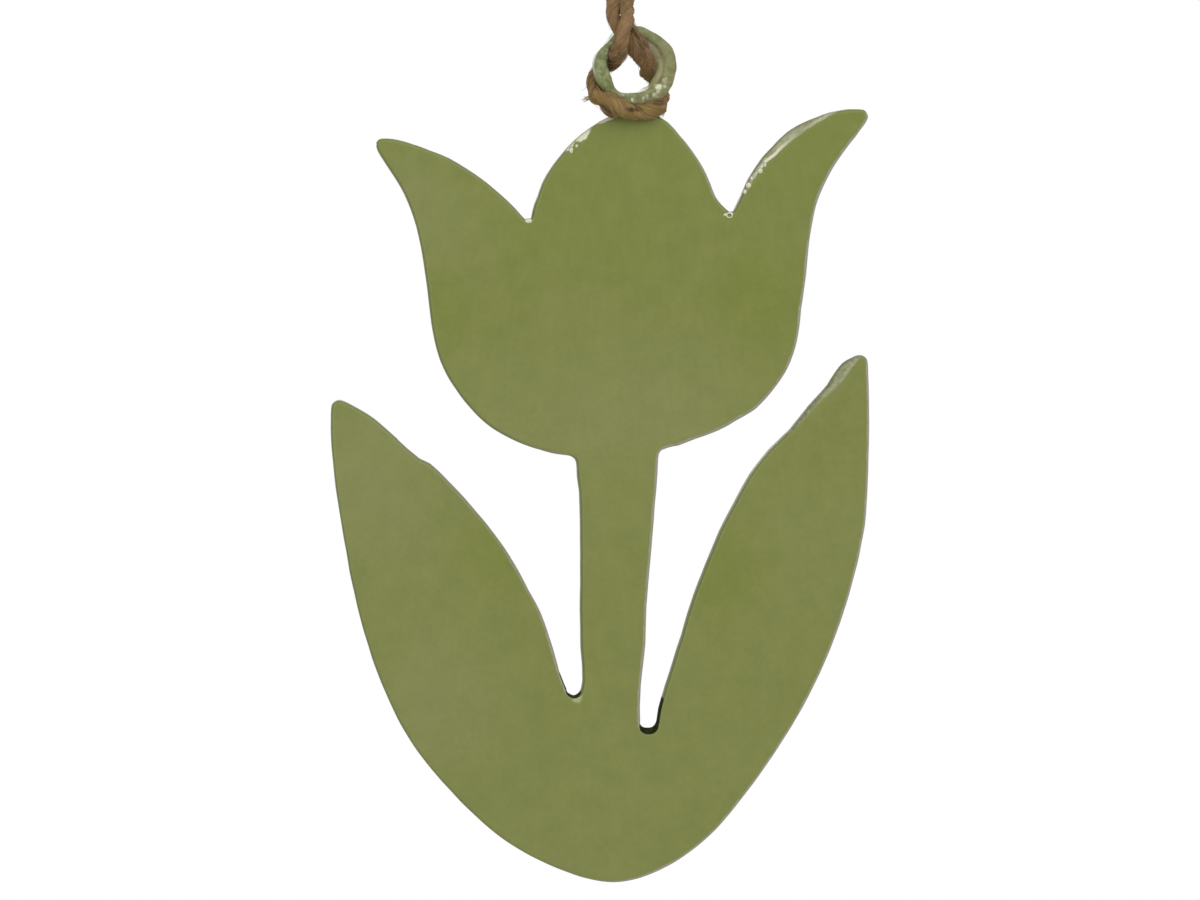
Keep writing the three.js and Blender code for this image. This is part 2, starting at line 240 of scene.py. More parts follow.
def even_curve(points, step, pieces, closed=False):
    """A centripetal Catmull-Rom curve through the points: points at an even step, and their arc lengths."""
    fine, count = [], len(points)
    for i in range(count if closed else count - 1):
        p1, p2 = points[i], points[(i + 1) % count]
        p0 = points[i - 1] if closed or i > 0 else p1 * 2 - p2
        p3 = points[(i + 2) % count] if closed or i + 2 < count else p2 * 2 - p1
        d0, d1, d2 = (max((b - a).length ** 0.5, 1e-4) for a, b in ((p0, p1), (p1, p2), (p2, p3)))
        m1 = ((p1 - p0) / d0 - (p2 - p0) / (d0 + d1) + (p2 - p1) / d1) * d1
        m2 = ((p2 - p1) / d1 - (p3 - p1) / (d1 + d2) + (p3 - p2) / d2) * d1
        a = p1 * 2 - p2 * 2 + m1 + m2
        b = p2 * 3 - p1 * 3 - m1 * 2 - m2
        for k in range(pieces):
            t = k / pieces
            fine.append(((a * t + b) * t + m1) * t + p1)
    fine.append(fine[0] if closed else points[-1])
    line = np.array([tuple(p) for p in fine])
    arc = np.concatenate([[0.0], np.cumsum(np.linalg.norm(np.diff(line, axis=0), axis=1))])
    even = np.linspace(0, arc[-1], int(round(arc[-1] / step)) + 1)
    return np.stack([np.interp(even, arc, column) for column in line.T], axis=1), even


ROUTE, ARC = even_curve(twine_route(), ROUTE_STEP, ROUTE_PIECES)
LAST = len(ROUTE) - 1


def route_frames():
    """A tangent and two sides at each point, carried along the route without turning about it."""
    tangents = np.gradient(ROUTE, axis=0)
    tangents /= np.linalg.norm(tangents, axis=1)[:, None]
    side = np.cross(tangents[0], (0.0, 1.0, 0.0))
    side /= np.linalg.norm(side)
    sides = []
    for tangent in tangents:
        side = side - tangent * side.dot(tangent)
        side /= np.linalg.norm(side)
        sides.append(side)
    sides = np.array(sides)
    return tangents, sides, np.cross(tangents, sides)


TANGENTS, SIDES, OVERS = route_frames()


def fullness(point):
    value = FULLNESS
    for centre, reach, more in FULLER:
        value += more * hill((Vector(point) - RING_CENTRE - Vector(centre)).length / reach)
    return value


def pressed(point):
    moved = Vector(point)
    for centre, reach, shift in PRESSED:
        moved += Vector(shift) * hill((Vector(point) - RING_CENTRE - Vector(centre)).length / reach)
    return tuple(moved)


THICKNESS = [fullness(p) for p in ROUTE]
LINE = np.array([pressed(p) for p in ROUTE])


def index_at(z, first):
    """The route's index at a height in the twisted pair, on the way down or back up."""
    order = range(LAST + 1)
    return next(i for i in (order if first else reversed(order)) if ROUTE[i][2] < z)


def ply_turn(i, angle):
    """The angle round the twine at a route point, counted from a ply that winds with it."""
    return angle - 2 * pi * ARC[i] / PLY_PITCH


def from_ply(turn):
    """How far an angle is from the middle of its own ply."""
    return (turn + PLY_GAP / 2) % PLY_GAP - PLY_GAP / 2


def surface_radius(i, angle):
    """The twine's radius at a route point, with its plies and the loose lie of its fibres."""
    turn = ply_turn(i, angle)
    off = from_ply(turn)
    lobe = PLY_OFFSET * cos(off) + sqrt(max(PLY_RADIUS**2 - (PLY_OFFSET * sin(off)) ** 2, 0))
    streak = noise(Vector((cos(turn) * 5.0, sin(turn) * 5.0, ARC[i] * 0.3)))
    lump = noise(Vector((cos(turn) * 0.7, sin(turn) * 0.7, ARC[i] * 0.5 + 20)))
    return lobe * THICKNESS[i] + STREAK_HEIGHT * streak + LUMP_HEIGHT * lump


def crease(i, angle):
    """How near the twine's surface is to the groove between two plies, from 0 to 1."""
    return (abs(from_ply(ply_turn(i, angle))) / (PLY_GAP / 2)) ** 3


# The painted shade at a point on the twine's front, from the shade patches.
def shade_patch_at(point):
    local = point - RING_CENTRE
    value = 0.0
    if local.y < FRONT_DEPTH:
        for x, z, wide, high, much in SHADE_PATCHES:
            gap = ((local.x - x) / wide) ** 2 + ((local.z - z) / high) ** 2
            value = max(value, much * (1 - gap * gap))
    return value


def ring_section(a):
    """The ring's section at an angle round it: its centre's radius, half its wall and its tilt."""
    level = cos(a) ** 2
    right = max(cos(a), 0.0) ** 2
    middle = RING_MIDDLE + RING_OVAL * level - RING_SHIFT * cos(a) * abs(cos(a))
    middle -= RING_SINK * sin(a) * abs(sin(a))
    half = RING_WALL / 2 + RING_THICKER * right
    for place, outside, inside in RING_HAND:
        near = hill(((degrees(a) - place + 180) % 360 - 180) / HAND_REACH)
        middle += near * (outside + inside) / 2
        half += near * (outside - inside) / 2
    return middle, half, RING_TILT * level


def clear_of_ring(point, margin=0.02):
    """A twine point pushed out of the ring, so the twine lies against the enamel."""
    local = RING_TURNED.inverted() @ (Vector(point) - RING_CENTRE)
    a = atan2(local.z, local.x)
    middle, half, tilt = ring_section(a)
    p, q = hypot(local.x, local.z) - middle, local.y
    c, s = cos(tilt), sin(tilt)
    u, v = p * c + q * s, q * c - p * s
    inner_u, inner_v = half - RING_EDGE, RING_HALF - RING_EDGE
    du, dv = max(abs(u) - inner_u, 0), max(abs(v) - inner_v, 0)
    gap = hypot(du, dv)
    if gap >= RING_EDGE + margin:
        return Vector(point)
    if gap < 1e-6:
        if half - abs(u) < RING_HALF - abs(v):
            u = copysign(half + margin, u)
        else:
            v = copysign(RING_HALF + margin, v)
    else:
        grow = (RING_EDGE + margin) / gap
        if du > 0:
            u = copysign(inner_u + du * grow, u)
        if dv > 0:
            v = copysign(inner_v + dv * grow, v)
    p, q = u * c - v * s, u * s + v * c
    radius = middle + p
    return RING_CENTRE + RING_TURNED @ Vector((radius * cos(a), q, radius * sin(a)))


def strand_mesh(name, first, last, around=36):
    verts, lay, groove = [], [], []
    for i in range(first, last + 1):
        for k in range(around):
            angle = 2 * pi * k / around
            point = LINE[i] + surface_radius(i, angle) * (cos(angle) * SIDES[i] + sin(angle) * OVERS[i])
            verts.append(clear_of_ring(point))
            turn = ply_turn(i, angle)
            lay.append((cos(turn), sin(turn), ARC[i]))
            # Painted shade: darker in the grooves between the plies and in the shade patches.
            groove.append(max(CREASE_SHADE * crease(i, angle), shade_patch_at(verts[-1])))
    faces = tube_faces(last - first, around)
    for end, index, order in ((0, first, -1), (last - first, last, 1)):
        middle = len(verts)
        verts.append(LINE[index])
        lay.append((0.0, 0.0, ARC[index]))
        groove.append(0.0)
        for k in range(around):
            faces.append((end * around + k, end * around + (k + 1) % around, middle)[::order])
    return mesh_object(name, verts, faces, lay=lay, groove=groove)


def side_at(i, angle):
    return Vector(cos(angle) * SIDES[i] + sin(angle) * OVERS[i])


# The fibres per millimetre of twine, and how thick they are.
LYING_PER_MM = 16
STANDING_PER_MM = 6
LYING_SIZE = (0.018, 0.045)
STANDING_SIZE = (0.012, 0.022)
TUFT_SIZE = (0.03, 0.05)
VEIL_SIZE = (0.03, 0.06)


def fibre_mesh(name, first, last, rng, tufts=(), veils=()):
    """The jute's own fibres: long ones lying along the plies, short ones standing off, tufts and veils."""
    length, uniform = ARC[last] - ARC[first], rng.uniform
    verts, faces, shades = [], [], []

    def add(line, sizes):
        """One thin three-sided fibre, thinner towards its ends."""
        thickness, shade, end = uniform(*sizes), rng.random(), len(line) - 1
        faces.extend(tube_faces(end, 3, len(verts)))
        for s, centre in enumerate(line):
            ahead = (line[min(s + 1, end)] - line[max(s - 1, 0)]).normalized()
            across = ahead.orthogonal().normalized()
            over = ahead.cross(across)
            t = abs(2 * s / end - 1)
            size = thickness * (1 - 0.7 * t * t)
            for k in range(3):
                angle = 2 * pi * k / 3
                verts.append(centre + (across * cos(angle) + over * sin(angle)) * size)
                shades.append(shade)

    def add_short(root, aim, bend, reach, sizes):
        add([root + aim * (reach * t / 4) + bend * (reach * t * t / 16) for t in range(5)], sizes)

    def anywhere(reach):
        return Vector([uniform(-reach, reach) for _ in range(3)])

    for _ in range(int(length * LYING_PER_MM)):
        start = rng.randrange(first, max(last - 14, first + 1))
        steps = min(rng.randrange(12, 34), last - start)
        turn, wander, phase = uniform(0, 2 * pi), uniform(-0.35, 0.35), uniform(0, 6.28)
        loose = uniform(0.0, 0.05) if rng.random() < 0.8 else uniform(0.05, 0.16)
        line = []
        for k in range(0, steps + 1, 2):
            i = start + k
            angle = turn + 2 * pi * ARC[i] / PLY_PITCH + wander * sin(phase + k * 0.12)
            t = k / steps
            lift = -0.005 + loose * (sin(pi * t) if phase < 3.14 else t * t)
            line.append(clear_of_ring(Vector(LINE[i]) + side_at(i, angle) * (surface_radius(i, angle) + lift)))
        if len(line) > 2:
            add(line, LYING_SIZE)
    for _ in range(int(length * STANDING_PER_MM)):
        i, angle = rng.randrange(first, last), uniform(0, 2 * pi)
        out, ahead = side_at(i, angle), Vector(TANGENTS[i]) * rng.choice((-1, 1))
        skew = ahead.cross(out)
        root = clear_of_ring(Vector(LINE[i]) + out * (surface_radius(i, angle) - 0.03))
        aim = (ahead + out * uniform(0.05, 0.4) + skew * uniform(-0.4, 0.4)).normalized()
        bend = out * uniform(-0.35, 0.2) + skew * uniform(-0.4, 0.4)
        reach = uniform(1.2, 2.0) if rng.random() < 0.06 else uniform(0.4, 1.1)
        add_short(root, aim, bend, reach, STANDING_SIZE)
    for centre, direction, spread, reach, number in tufts:
        for _ in range(number):
            root = Vector(centre) + anywhere(spread)
            aim = (Vector(direction) + anywhere(0.22)).normalized()
            bend = anywhere(0.25)
            add_short(root, aim, bend, reach * uniform(0.6, 1.0), TUFT_SIZE)
    for start, middle, end, spread, number in veils:
        start, middle, end = Vector(start), Vector(middle), Vector(end)
        for _ in range(number):
            off, drift = (Vector([rng.gauss(0, wide) for _ in range(3)]) for wide in (spread, spread * 0.5))
            t0, t1 = uniform(0.0, 0.35), uniform(0.6, 1.0)
            line = []
            for k in range(9):
                t = t0 + (t1 - t0) * k / 8
                point = start * (1 - t) ** 2 + middle * 2 * t * (1 - t) + end * t * t
                line.append(clear_of_ring(point + off + drift * t))
            add(line, VEIL_SIZE)
    return mesh_object(name, verts, faces, shade=shades)


# Where tufts stand: root, direction, spread, length, number.
TUFTS = [
    ((-2.5, -1.3, -46), (-1, -0.25, -0.12), 0.2, 1.1, 16), ((-2.2, -1.2, -45.6), (-0.6, -0.5, 0.3), 0.3, 0.7, 8),
    ((3.4, -2, -40.9), (0.6, 0, -0.6), 0.45, 1.2, 26), ((2.6, -2.6, -39.6), (0.5, 0, -0.7), 0.4, 1.2, 14),
]
# Loose fibres over the ring's top and where the twine leaves it below: start, middle, end, spread, number.
VEILS = [
    ((2.2, -1.7, -37.2), (2.6, -2.2, -38.6), (3.6, -1.4, -41), 0.16, 60),
    ((2.3, -1.9, -38.4), (3.2, -1.5, -40), (4, 0.2, -42.3), 0.3, 150),
    ((-1.9, -1.2, -44.4), (-1.5, -1.9, -46), (0.4, -1.9, -46.6), 0.2, 60),
    ((-1.6, -1.9, -46), (-0.9, -2, -48), (0.7, -1.6, -47.9), 0.2, 360),
    ((6.1, -0.6, -46.2), (5.9, -0.9, -47.2), (5.2, -1, -48.2), 0.2, 160),
    ((2.6, -1.9, -38.3), (3.4, -1.6, -39.4), (4.3, -0.3, -40.6), 0.22, 80),
]
# Where the twine is cut into pieces, above and below the twist joint.
UPPER_CUT = -23.1
LOWER_CUT = -29.9
DOWN_UPPER, DOWN_LOWER, UP_UPPER, UP_LOWER = (
    index_at(cut, first) for first in (True, False) for cut in (UPPER_CUT, LOWER_CUT)
)
STRETCHES = [
    ("twine_hitch", DOWN_LOWER, UP_LOWER),
    ("twine_middle_right", DOWN_UPPER, DOWN_LOWER), ("twine_middle_left", UP_LOWER, UP_UPPER),
    ("twine_loop_right", 0, DOWN_UPPER), ("twine_loop_left", UP_UPPER, LAST),
]

rng = random.Random(7)
strands = [strand_mesh(name.replace("hitch", "hitch_round_ring"), *ends) for name, *ends in STRETCHES]
fuzz = [
    fibre_mesh(name + "_fibres", *ends, rng, *((TUFTS, VEILS) if name == "twine_hitch" else ()))
    for name, *ends in STRETCHES
]
hitch, middle_right, middle_left, end_right, end_left = strands
hitch_fuzz, middle_right_fuzz, middle_left_fuzz, end_right_fuzz, end_left_fuzz = fuzz

for piece in (hitch, hitch_fuzz):
    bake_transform(piece)
for piece in (middle_right, middle_left, middle_right_fuzz, middle_left_fuzz):
    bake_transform(piece)
for piece in (end_right, end_left, end_right_fuzz, end_left_fuzz):
    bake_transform(piece)

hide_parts("twine_hitch")
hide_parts("upper_strand_front", "lower_strand_right")
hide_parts("upper_strand_back", "lower_strand_left")
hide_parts("loop_right_side", "loop_knot")
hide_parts("loop_left_side")


# The enamelled plate

PLATE_HALF = 1.0
RIM_REACH = 0.5
RIM_LEVEL = -0.0004
OUTLINE_STEP = 0.25
OUTLINE_PIECES = 10
EDGE_INSET = 0.02
EDGE_WAVE = 0.035
# How far from the edge the rows of points lie that follow it; beyond them is an even grid.
ROWS = (0.02, 0.07, 0.13, 0.2, 0.3, 0.43, 0.6, 0.8, 1.0, 1.25)
GRID_PITCH = 0.75
BEVEL_DEPTH = 0.34
POOL_HEIGHT = 0.016
RIPPLE_HEIGHT = 0.005
BACK_SEED = 40
SLOT_SHADE_WIDTH = 0.19
# Which faces take the slot wall's material of painted shade, by how dark their painted shade is, and which the rim's,
# by how near the edge.
SLOT_SHADE_FROM = 0.3
RIM_WITHIN = 0.21
# Where the edge is filed to a bevel and the enamel is thin on it, along each run of points: x, z, the band's
# width, its streak of painted highlight, and how far the whole band is paled with painted highlight. What isn't given
# is 0.
FILED = [
    [
        (15.4, -57.5), (15.8, -56.9, 0.25, 0.2, 0.1), (16.1, -55.9, 0.5, 0.4, 0.2), (16.6, -54.9, 0.6, 0.5, 0.2),
        (17.3, -53.6, 0.65, 0.8, 0.1), (18.2, -52.4, 0.85, 1, 0.1), (19.3, -51, 1, 0.75, 0.1),
        (20.5, -50, 1.1, 0.3, 0.15), (21.8, -49, 1.05, 0.15, 0.1), (23.2, -48.3, 0.8, 0.25), (24.9, -47.7, 0.55, 0.4),
        (26, -47.4, 0.3, 0.2), (27.2, -47.2, 0.05), (28.6, -47.1),
    ],
    [
        (30.3, -76.6, 0.1), (29.7, -76.2, 0.3), (28.9, -76.3, 0.6, 0.1), (28, -76.6, 0.95, 0.2, 0.05),
        (27.2, -77.4, 1.15, 0.1), (26.5, -78.4, 1.2), (25.8, -79.5, 0.85), (24.7, -80.7, 0.65), (23.5, -82, 0.6),
        (22.4, -83.2, 0.45), (21.5, -84.4, 0.3), (20.4, -85.7, 0.15), (19.5, -86.8, 0.05), (18.3, -88.2),
    ],
    [
        (1, -47.6, 0.4, 0.6, 0.9), (-0.1, -48.3, 0.48, 1, 1), (-1, -48.8, 0.42, 0.9, 0.9),
        (-1.7, -49.4, 0.2, 0.1, 0.3), (-2.3, -49.8, 0.22, 0.1, 0.3), (-2.7, -50.05, 0.55, 0.3, 0.9),
        (-3.1, -50.45, 0.8, 0.4, 1), (-3.6, -51, 0.75, 0.4, 1), (-3.95, -51.4, 0.2, 0.1, 0.2),
        (-4.3, -51.7, 0.4, 0.2, 0.8), (-4.8, -52.2, 0.5, 0.3, 1), (-5.1, -52.6, 0.15, 0, 0.1), (-6, -53.6, 0.14),
        (-7.2, -55.2, 0.18), (-8.1, -56.9, 0.14), (-8.8, -58.4, 0.05), (-9.2, -59.5),
    ],
]
# Where the hand-cut edge strays from the even outline, along each run of points: x, z and the shift of each.
STRAYS = [
    [
        (18, -53), (19.2, -51.5, 0.12, -0.1), (21, -49.8, 0.08, -0.08), (22.6, -48.6, 0.15, -0.12),
        (24.2, -47.9, 0.17, -0.15), (25.6, -47.5, 0.05, -0.03), (26.6, -47.3), (28.1, -47.2, 0, 0.12),
        (29.4, -47.15, -0.05, 0.06), (30.5, -47.6, -0.32, -0.06), (30.6, -48.3, -0.32, 0.05),
        (30.2, -49.2, -0.15, 0.05), (29.3, -50.6),
    ],
    [(22.6, -66.5), (22.5, -69, -0.13), (22.35, -70.5, -0.2), (22.2, -72.5, -0.1), (22, -74.5)],
    [(19.2, -80), (17.05, -82.4, 0.11, -0.14), (15, -84)],
    [(8, -86.8), (7, -87, -0.05, 0.18), (6, -87.4, -0.1, 0.24), (5.6, -88.5, -0.05, 0.1), (5.6, -90)],
    [(-25.5, -86), (-24.1, -87.1, -0.12, -0.17), (-22.7, -88.2, -0.17, -0.24), (-21.7, -89)],
    [(-9.8, -103.5), (-8.4, -106.4, 0.15, 0.06), (-7.4, -109.3)],
    [
        (-8.5, -87.2), (-6, -87.9, -0.05, -0.2), (-4.75, -88.1, -0.15, -0.28), (-4, -88.9, -0.05, -0.1), (-3.9, -90.3),
        (-3.85, -92, 0.2), (-3.8, -94, 0.26), (-3.7, -99, 0.22), (-3.6, -103, 0.15), (-3.6, -106), (-3.5, -110.5),
        (-3.45, -112.7, 0.17), (-3.45, -114.5, 0.25), (-3.5, -115.6, 0.1), (-3.9, -116.2),
    ],
    [
        (-7, -110.8), (-6.3, -113.3, 0.05), (-6, -114.4, 0.22, 0.05), (-5.6, -115.6, 0.36, 0.3),
        (-5, -116.2, 0.12, 0.22), (-4.5, -116.3),
    ],
    [
        (16.5, -90), (14.5, -93.3, 0.16, -0.08), (12.6, -96.9, 0.15, -0.07), (11.2, -100.2, 0.23, -0.1),
        (9.7, -104.3, 0.2, -0.07), (8, -109.3, 0.24, -0.06), (7.4, -111.3, 0.18, -0.05), (6.1, -115.8, 0.12, -0.02),
        (5.6, -118),
    ],
    [
        (4.3, -105.5), (4, -108.5, 0.12), (3.95, -110.2, 0.19), (3.8, -112.5, 0.05), (3.6, -115, -0.12),
        (3.45, -117.5, -0.14), (3.5, -119.3),
    ],
    [(-26.9, -50.6), (-27.8, -51, 0.1), (-27.85, -51.6, 0.2), (-27.4, -52.8, 0.05), (-26.8, -54)],
    [(-25.5, -50.9), (-23, -51.5, -0.05, -0.15), (-21.2, -52.3, -0.05, -0.15), (-19.3, -53.3)],
    [(-8.2, -55.7), (-8.8, -57.4, 0.18, -0.06), (-9.2, -59.2)],
    [(5.2, -47.9), (7.1, -49.1, -0.1, -0.12), (8.6, -51)],
    [
        (29.3, -76.2), (28.1, -76.6, -0.1, 0.14), (27.3, -77, -0.12, 0.15), (27.1, -77.5, -0.06, 0.07),
        (26.4, -78.5, 0.13, -0.1), (25.6, -79.4, 0.28, -0.22), (24.7, -80.6, 0.18, -0.14), (23.4, -82, 0.12, -0.09),
        (22.2, -83.3, 0.2, -0.15), (21.15, -84.75, 0.26, -0.2), (20.3, -85.6, 0.15, -0.1), (19, -87),
    ],
]
# Where a pale patch is painted beside the left slot as a highlight: x, z, half width, half height.
HIGHLIGHT_PATCHES = [(-4.1, -116.5, 0.55, 0.4)]
# Where the saw left a slanting wall, with painted shade on it: x, z, how far it reaches, half its slant, how dark the
# painted shade is.
SAWN_AND_SHADED = [
    (4.4, -120.6, 1.5, 0.26, 1), (5.6, -118.4, 2.2, 0.02, 0.9), (-4.7, -116.1, 1.3, 0.03, 0.8),
    (-5.8, -114.8, 1.8, 0, 0.7), (13.5, -59, 1, 0, 0.5),
]
# Beads of enamel on the rim: x, z, half width, half height, and 1 where a bubble left a pinhole.
BEADS = [
    (17.5, -54.4, 0.36, 0.38, 0), (18.05, -53.7, 0.26, 0.32, 0), (16.5, -55.3, 0.2, 0.3, 0),
    (16.1, -56.1, 0.4, 0.4, 0), (15.7, -56.85, 0.26, 0.32, 0), (13.85, -59.6, 0.58, 0.46, 1),
    (13.45, -59.55, 0.45, 0.26, 0), (-4.75, -52.1, 0.3, 0.44, 0), (-4.15, -51.6, 0.26, 0.3, 0),
    (-9.75, -60.3, 0.5, 0.32, 0),
]
BEAD_LEVEL = -0.84
BEAD_DEPTH = 0.2
PINHOLE_DEPTH = 0.09
# Painted reflections in the enamel, patches a little greyer or yellower than usual: x, z, reach and how much.
SHEEN_PATCHES = [
    (-22.5, -58.5, 9, 1.2), (-30, -92, 16, 0.9), (-12, -84, 13, 0.6), (2, -82, 12, 0.8), (-20, -71, 6, -0.6),
    (27, -52, 8, -0.5), (-16, -64, 5, 0.3), (28, -87, 9, -0.3), (-20, -118, 14, 0.8), (0, -130, 14, 0.3),
    (27, -52, 7, 0.3), (17, -69, 10, -0.8), (-2, -62, 14, -0.3), (-13.5, -99, 8, -0.7), (13, -101, 9, -0.8),
    (1, -91, 4, -0.4), (12, -85, 7, 0.5), (24, -98, 10, 0.2),
]


def outline_loop(node):
    """The plate's outline, as the ring of points on its front rim, in millimetres."""
    mesh = bmesh.new()
    mesh.from_mesh(node.data)
    bmesh.ops.remove_doubles(mesh, verts=mesh.verts, dist=1e-6)
    mesh.verts.ensure_lookup_table()
    on_rim = {v.index for v in mesh.verts if abs(v.co.y - RIM_LEVEL) < 3e-5}
    neighbours = {}
    for edge in mesh.edges:
        a, b = edge.verts[0].index, edge.verts[1].index
        if a in on_rim and b in on_rim:
            neighbours.setdefault(a, []).append(b)
            neighbours.setdefault(b, []).append(a)
    loop = [next(iter(neighbours))]
    previous, here = loop[0], neighbours[loop[0]][0]
    while here != loop[0]:
        loop.append(here)
        previous, here = here, next(n for n in neighbours[here] if n != previous)
    points = [Vector((mesh.verts[i].co.x / MM, mesh.verts[i].co.z / MM)) for i in loop]
    mesh.free()
    return points


def inward_of(line):
    """The unit vector into the metal at each point of the closed outline."""
    ahead = np.roll(line, -1, axis=0) - np.roll(line, 1, axis=0)
    ahead /= np.linalg.norm(ahead, axis=1)[:, None]
    return np.stack([-ahead[:, 1], ahead[:, 0]], axis=1)


def along(line, keys, width):
    """The keys' values at each outline point that lies on their run, and zero elsewhere."""
    found = np.zeros((len(line), width))
    nearest = np.full(len(line), 0.8)
    keys = [np.array((*key, 0, 0, 0)[:width + 2], float) for key in keys]
    for a, b in zip(keys, keys[1:]):
        run = b[:2] - a[:2]
        share = np.clip((line - a[:2]) @ run / (run @ run), 0, 1)
        gap = np.linalg.norm(line - a[:2] - share[:, None] * run, axis=1)
        close = gap < nearest
        nearest = np.where(close, gap, nearest)
        found = np.where(close[:, None], a[2:] + share[:, None] * (b[2:] - a[2:]), found)
    return found


def plate_mesh():
    line = even_curve(outline_loop(NODES["tulip_plate"]), OUTLINE_STEP, OUTLINE_PIECES, closed=True)[0][:-1]
    x, z = line.T
    if np.sum(x * np.roll(z, -1) - np.roll(x, -1) * z) < 0:
        line = line[::-1]
    count = len(line)
    wave = [EDGE_WAVE * noise(Vector((x * 0.4, z * 0.4, 3.0))) for x, z in line]
    line = line + inward_of(line) * (np.array(wave) + EDGE_INSET)[:, None]
    filed = sum(along(line, keys, 3) for keys in FILED)
    line = line + sum(along(line, keys, 2) for keys in STRAYS)
    inward = inward_of(line)
    tree = kdtree.KDTree(count * 3)
    for i in range(count):
        for k in range(3):
            p = line[i] + (line[(i + 1) % count] - line[i]) * (k / 3)
            tree.insert((p[0], p[1], 0), i)
    tree.balance()

    def edge_distance(x, z):
        return tree.find((x, z, 0))[2]

    points = [Vector((x, z)) for x, z in line]
    for row, depth in enumerate(ROWS):
        every = 1 if row < 7 else 2
        for i in range(row % every, count, every):
            x, z = line[i] + inward[i] * depth
            if edge_distance(x, z) > depth * 0.93:
                points.append(Vector((x, z)))
    low, high = line.min(0), line.max(0)
    z, row = low[1], 0
    while z < high[1]:
        x = low[0] + (GRID_PITCH / 2 if row % 2 else 0)
        while x < high[0]:
            jitter = noise(Vector((x * 3, z * 3, 9))) * 0.1
            if edge_distance(x, z) > ROWS[-1] + 0.35:
                points.append(Vector((x + jitter, z - jitter)))
            x += GRID_PITCH
        z += GRID_PITCH * 0.866
        row += 1
    rim_edges = [(i, (i + 1) % count) for i in range(count)]
    verts, _, faces, *_ = delaunay_2d_cdt(points, rim_edges, [], 1, 1e-5)
    used = sorted({i for f in faces for i in f})
    renumber = {old: new for new, old in enumerate(used)}
    flat = [verts[i] for i in used]
    faces = [[renumber[i] for i in f] for f in faces]
    _, owner, distance = zip(*(tree.find((p.x, p.y, 0)) for p in flat))
    on_edge = [d < 1e-3 for d in distance]

    def height(p, d, seed, band):
        reach = min(d / RIM_REACH, 1.0)
        body = PLATE_HALF * (1 - (1 - reach) ** 3) ** (1 / 3)
        if band > 0:
            body -= BEVEL_DEPTH * min(band, 1.0) * max(0.0, 1 - d / (band + 0.08)) * min(d / 0.07, 1.0)
        settle = min(d / 1.6, 1.0)
        pool = POOL_HEIGHT * noise(Vector((p.x * 0.12, p.y * 0.12, seed)))
        ripple = RIPPLE_HEIGHT * noise(Vector((p.x * 0.55, p.y * 0.55, seed + 5)))
        return min(body + (pool + ripple - 0.022) * settle, PLATE_HALF)

    # The slot wall's slant, and how dark its painted shade is, at a point.
    def slant_and_shade(p):
        slant, slot_shade = 0.0, 0.0
        for x, z, reach, half, shade in SAWN_AND_SHADED:
            near = max(0.0, 1 - (hypot(p.x - x, p.y - z) / reach) ** 2)
            slant, slot_shade = max(slant, half * near), max(slot_shade, shade * min(1.0, near * 1.8))
        return slant, slot_shade

    values = {name: [] for name in ("rim", "band", "streak", "band_highlight", "facing", "slot_shade", "sheen_and_tone", "highlight_patch")}

    def note(i, d, slot_shade, front):
        band, streak, band_highlight = filed[owner[i]] * front
        out = -inward[owner[i]]
        sheen_and_tone = 0.0
        for x, z, reach, much in SHEEN_PATCHES:
            near = max(0.0, 1 - ((flat[i].x - x) ** 2 + (flat[i].y - z) ** 2) / reach**2)
            sheen_and_tone += much * near * near
        # The painted highlight patch beside the left slot.
        highlight_patch = max(max(0.0, 1 - max(abs(flat[i].x - x) / w, abs(flat[i].y - z) / h)) for x, z, w, h in HIGHLIGHT_PATCHES)
        highlight_patch = min(4 * highlight_patch, 1.0) * front
        for name, value in zip(values, (d, band, streak, band_highlight, 0.8 * out[0] - 0.5 * out[1], slot_shade, sheen_and_tone, highlight_patch)):
            values[name].append(value)

    out, all_faces, sides = [], [], ({}, {})
    for front, numbers in zip((True, False), sides):
        for i, p in enumerate(flat):
            if on_edge[i] and not front:
                numbers[i] = sides[0][i]
                continue
            d = distance[i]
            slant, slot_shade = slant_and_shade(p)
            # The band of painted shade down the slot's wall.
            reach = SLOT_SHADE_WIDTH * min(1.0, slot_shade * (1.3 if front else 2.5))
            wall = slot_shade * min(max((reach - d) / 0.07, 0.0), 1.0)
            numbers[i] = len(out)
            if on_edge[i]:
                out.append((p.x, 0.0, p.y))
            else:
                push = slant * max(0.0, 1 - d / 1.3) ** 2 * (-1 if front else 1)
                x, z = p.x - inward[owner[i]][0] * push, p.y - inward[owner[i]][1] * push
                y = height(p, d, 0 if front else BACK_SEED, filed[owner[i]][0] * front)
                out.append((x, -y if front else y, z))
            note(i, d, wall, front)
    for f in faces:
        a, b, c = (flat[i] for i in f[:3])
        turn = (b.x - a.x) * (c.y - a.y) - (b.y - a.y) * (c.x - a.x)
        order = f if turn > 0 else f[::-1]
        all_faces += [[sides[0][i] for i in order], [sides[1][i] for i in reversed(order)]]
    kinds = []
    for f in all_faces:
        slot_shade = sum(values["slot_shade"][i] for i in f) / len(f)
        rim = max(values["rim"][i] for i in f)
        kinds.append(2 if slot_shade > SLOT_SHADE_FROM else 1 if rim < RIM_WITHIN else 0)
    return mesh_object("tulip_enamel_plate", out, all_faces, **values), kinds


